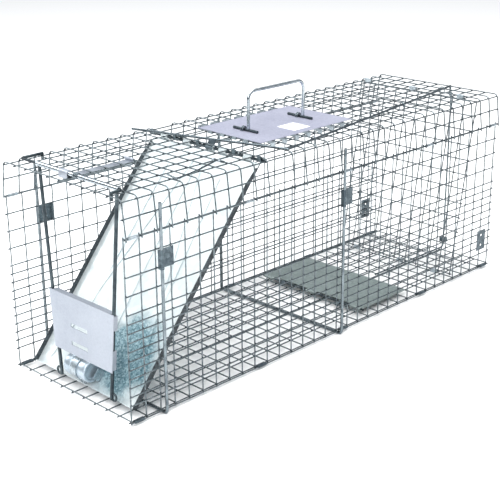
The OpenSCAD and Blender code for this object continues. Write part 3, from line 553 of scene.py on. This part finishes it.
def rear_panel():
    """The rear panel leans back; its uprights stand in front of its rows."""
    low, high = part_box("rear_mesh")
    half = high.x - WIRE_R - STUB
    floor_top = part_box("floor_mesh")[1].z
    above_floor, under_roof = 2.5 * MM, 0.2 * MM
    foot_z = floor_top + WIRE_R + above_floor
    head_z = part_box("roof_mesh")[1].z - 2 * WIRE_R - LAYER - under_roof
    lean = math.atan2(REAR_LEAN_RUN, head_z - foot_z)
    length = (head_z - foot_z) / math.cos(lean)
    up = Vector((0, math.sin(lean), math.cos(lean)))
    back = Vector((0, math.cos(lean), -math.sin(lean)))
    foot = Vector((0, cad_front() + REAR_FOOT_BACK, foot_z))
    row = (length - STUB - WIRE_R) / CELLS_REAR
    xs = [(i - CELLS_WIDE / 2) * 2 * half / CELLS_WIDE for i in range(CELLS_WIDE + 1)]
    behind = back * LAYER
    across = Vector((1, 0, 0))
    below_foot, below_head = up * (WIRE_R + MM), up * (length - WIRE_R)
    heights = [up * row * i for i in range(CELLS_REAR + 1)]
    paths = [steps(foot + across * x - below_foot, foot + across * x + below_head, CELLS_REAR)
             for x in xs]
    paths += [steps(foot + behind + height + across * low.x, foot + behind + height + across * high.x,
                    CELLS_WIDE) for height in heights]
    welds = [foot + behind / 2 + height + across * x for x in xs for height in heights]
    wire_piece("rear_wires", "rear_mesh", "cage", paths, welds, MAT_WIRE)


def cad_front():
    """The front cross wire's place along the cage."""
    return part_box("floor_mesh")[0].y + WIRE_R + STUB


floor_panel()
row_x, seam_z = wall_panel(1)
wall_panel(-1)
roof_panel(abs(row_x), seam_z)
rear_panel()


# ---------------------------------------------------------------- small parts with finer shapes
def lathe(name, outline, centre, axis, sides, finish):
    """A turned solid: outline is (radius, distance along the axis) from one end to the other."""
    axis = Vector(axis).normalized()
    turn = axis.to_track_quat("Z", "Y").to_matrix()
    verts, faces = [], []
    for radius, along in outline:
        for j in range(sides):
            a = 2 * math.pi * j / sides
            ring_point = Vector((radius * math.cos(a), radius * math.sin(a), along))
            verts.append(Vector(centre) + turn @ ring_point)
    for i in range(len(outline) - 1):
        for j in range(sides):
            k = (j + 1) % sides
            faces.append((i * sides + j, i * sides + k, (i + 1) * sides + k, (i + 1) * sides + j))
    faces.append(tuple(reversed(range(sides))))
    faces.append(tuple(range((len(outline) - 1) * sides, len(outline) * sides)))
    obj = mesh_object(name, verts, faces=faces)
    for face in obj.data.polygons:
        face.use_smooth = len(face.vertices) == 4
    obj.data.materials.append(finish)
    return obj


def door_weight():
    """A cast cylinder: rounded rims, a shallow dished end and two faint bands."""
    low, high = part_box("door_weight")
    radius = (high.z - low.z) / 2
    length = high.x - low.x
    centre = (low + high) / 2
    rim = 1.6 * MM
    half = length / 2
    dish_r, dish_edge, dish_depth = radius - 5 * MM, radius - 4.4 * MM, 0.8 * MM
    band_r, band_half, band_slope = radius - 0.35 * MM, 1.2 * MM, 0.6 * MM
    outline = [(dish_r, -half + dish_depth), (dish_edge, -half), (radius - rim, -half)]
    outline += [(radius - rim + rim * math.sin(a), -half + rim - rim * math.cos(a))
                for a in (math.radians(d) for d in (30, 60, 90))]
    for band in (-0.45, 0.05):
        place = band * half
        outline += [(radius, place - band_half), (band_r, place - band_slope),
                    (band_r, place + band_slope), (radius, place + band_half)]
    outline += [(radius - rim + rim * math.cos(a), half - rim + rim * math.sin(a))
                for a in (math.radians(d) for d in (0, 30, 60, 90))]
    outline += [(dish_edge, half), (dish_r, half - dish_depth)]
    piece = lathe("cast_weight", outline, centre, (1, 0, 0), 56, MAT_WEIGHT)
    stand_for(piece, "door_weight", "door")


def spring_coil():
    """The lock spring wound as a real coil, with its two straight tails."""
    low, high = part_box("lock_spring")
    tube_low, tube_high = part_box("lock_tube")
    axis_y, axis_z = (tube_low.y + tube_high.y) / 2, (tube_low.z + tube_high.z) / 2
    wire = 0.4 * MM
    ring = high.z - axis_z - wire
    coil = 10 * MM
    turns, each = 8, 20
    middle = (low.x + high.x) / 2
    start, end = middle - coil / 2 + wire, middle + coil / 2 - wire
    under, tip_z = axis_z - ring, low.z + 1.2 * MM
    down = -math.pi / 2
    path = []
    for i in range(turns * each + 1):
        a = down + 2 * math.pi * i / each
        x = start + (end - start) * i / (turns * each)
        path.append(Vector((x, axis_y + ring * math.cos(a), axis_z + ring * math.sin(a))))
    first = [Vector((start, axis_y - 3.4 * MM, tip_z)),
             Vector((start, axis_y - 1.6 * MM, under - 3 * MM))]
    last = [Vector((end, axis_y + 5 * MM, under - 3.4 * MM)),
            Vector((end, axis_y + 11 * MM, tip_z))]
    wire_piece("wound_spring", "lock_spring", "cage", [first + path + last], [], MAT_ROD, wire, 8)


def joined(parts, name):
    """Several plain mesh objects as one."""
    mesh = bmesh.new()
    for part in parts:
        mesh.from_mesh(part.data)
    obj = mesh_object(name, [])
    mesh.to_mesh(obj.data)
    mesh.free()
    obj.data.materials.append(parts[0].data.materials[0])
    for part in parts:
        bpy.data.objects.remove(part)
    return obj


def door_slope():
    """The angle at which the shut door's sheet leans, from its hinge and its lip."""
    joint = next(j for j in frame["record"]["behaviour"]["joints"] if j["name"] == "door_swing")
    hinge = Vector(joint["pos_m"])
    lip = Vector((0, cad_front() + LIP_BACK, LIP_HEIGHT))
    return math.atan2(hinge.z - lip.z, hinge.y - lip.y)


def domed_rivets():
    """The two rivets of the weight's strap, each with a domed head square to the door."""
    low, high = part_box("weight_rivets")
    angle = door_slope()
    out = Vector((0, -math.sin(angle), math.cos(angle)))
    centre = (low + high) / 2
    radius = 2.0 * MM
    foot, shoulder, rise = -0.75 * MM, -0.25 * MM, 1.0 * MM
    spread = (high.x - low.x) / 2 - radius
    rivets = []
    for side in (-1, 1):
        dome = [(radius, foot), (radius, shoulder)]
        dome += [(radius * math.cos(a), shoulder + rise * math.sin(a))
                 for a in (math.radians(d) for d in (20, 40, 60, 80))]
        place = centre + Vector((side * spread, 0, 0))
        rivets.append(lathe("rivet", dome, place, out, 24, MAT_ROD))
    stand_for(joined(rivets, "domed_rivets"), "weight_rivets", "door")


door_weight()
spring_coil()
domed_rivets()


# ---------------------------------------------------------------- finishes of the CAD parts
FINISHES = {
    MAT_ROD: ["front_hoop", "middle_hoop", "handle_staples", "trigger_guides", "trigger_rod", "trip_link",
              "prop_hook"],
    MAT_DARK_ROD: ["handle_feet", "door_hinge_rod", "lock_hangers", "pan_pivot_rod", "left_lock_leg",
                   "right_lock_leg"],
    MAT_CHROME: ["carry_handle", "lock_tube"],
    MAT_CLIP: ["hoop_clips", "rear_plates", "floor_clips", "hinge_clips", "pan_rod_clips", "latch_tab",
               "link_clip"],
    MAT_PALE_CLIP: ["seam_clips", "rear_clips", "guard_clips", "hook_clips", "weight_strap"],
    MAT_GUARD: ["hand_guard"],
    MAT_LOCK: ["lock_plate", "lock_strap"],
    MAT_PAN: ["pan"],
    MAT_DOOR_WITH_PAINTED_SHADE: ["door_panel"],
    MAT_LABEL: ["blank_label"],
}
for mat, names in FINISHES.items():
    for name in names:
        slots = nodes[name].data.materials
        slots.clear()
        slots.append(mat)


# ---------------------------------------------------------------- floor, light and camera
def ground():
    """A wide, plain, pale floor."""
    half = 9.0
    mat, _, shader = new_material("pale ground")
    shader.inputs["Base Color"].default_value = (0.93, 0.93, 0.93, 1)
    shader.inputs["Roughness"].default_value = 0.9
    shader.inputs["Specular IOR Level"].default_value = 0.1
    corners = [(-half, -half, 0), (half, -half, 0), (half, half, 0), (-half, half, 0)]
    obj = mesh_object("ground", corners, faces=[(0, 1, 2, 3)])
    obj.data.materials.append(mat)


def area_light(name, place, target, size, power):
    """A rectangular soft box that faces its target."""
    lamp = bpy.data.lights.new(name, "AREA")
    lamp.shape = "RECTANGLE"
    lamp.size, lamp.size_y = size
    lamp.energy = power
    obj = bpy.data.objects.new(name, lamp)
    obj.location = place
    obj.rotation_euler = (Vector(target) - Vector(place)).to_track_quat("-Z", "Y").to_euler()
    bpy.context.scene.collection.objects.link(obj)


def studio():
    """White surroundings to look at; a bright ceiling and dim walls to light and reflect."""
    world = bpy.data.worlds.new("studio air")
    world.use_nodes = True
    tree = world.node_tree
    air = tree.nodes["Background"]
    air.inputs["Color"].default_value = (1, 1, 1, 1)
    air.inputs["Strength"].default_value = 1.1
    room = tree.nodes.new("ShaderNodeBackground")
    where = tree.nodes.new("ShaderNodeTexCoord")
    height = tree.nodes.new("ShaderNodeSeparateXYZ")
    tree.links.new(where.outputs["Generated"], height.inputs["Vector"])
    walls, lower_ceiling, ceiling = (0.10, 0.12, 0.14), (0.55, 0.58, 0.62), (1, 1, 1)
    shade = ramp(tree, height.outputs["Z"], [(0.05, walls), (0.55, lower_ceiling), (0.9, ceiling)])
    tree.links.new(shade.outputs["Color"], room.inputs["Color"])
    room.inputs["Strength"].default_value = 1.0
    seen = tree.nodes.new("ShaderNodeLightPath")
    choose = tree.nodes.new("ShaderNodeMixShader")
    tree.links.new(seen.outputs["Is Camera Ray"], choose.inputs["Fac"])
    tree.links.new(room.outputs["Background"], choose.inputs[1])
    tree.links.new(air.outputs["Background"], choose.inputs[2])
    tree.links.new(choose.outputs["Shader"], tree.nodes["World Output"].inputs["Surface"])
    bpy.context.scene.world = world
    bpy.context.scene.view_settings.view_transform = "Standard"
    middle = (0, 0, 0.15)
    area_light("top soft box", (0.2, -0.2, 2.6), middle, (3.2, 3.6), 130)
    area_light("front soft box", (1.4, -2.4, 1.7), middle, (1.6, 1.2), 45)
    area_light("left soft box", (-2.4, -1.2, 1.5), middle, (1.0, 1.6), 30)


def camera():
    """Where the viewer stands: azimuth and elevation about the cage, on a long lens."""
    azimuth, elevation, roll = (math.radians(a) for a in (44.975, 20.128, -0.424))
    back = Vector((math.sin(azimuth) * math.cos(elevation), -math.cos(azimuth) * math.cos(elevation),
                   math.sin(elevation)))
    right = Vector((0, 0, 1)).cross(back).normalized()
    up = back.cross(right)
    c, s = math.cos(roll), math.sin(roll)
    across, upward = right * c + up * s, up * c - right * s
    turn = Matrix((across, upward, back)).transposed()
    lens = bpy.data.cameras.new("viewer")
    lens.lens = 81.58
    lens.sensor_width = 36
    lens.clip_end = 60
    obj = bpy.data.objects.new("viewer", lens)
    obj.matrix_world = Matrix.Translation((1.160126, -1.221185, 0.723891)) @ turn.to_4x4()
    bpy.context.scene.collection.objects.link(obj)
    bpy.context.scene.camera = obj


ground()
studio()
camera()
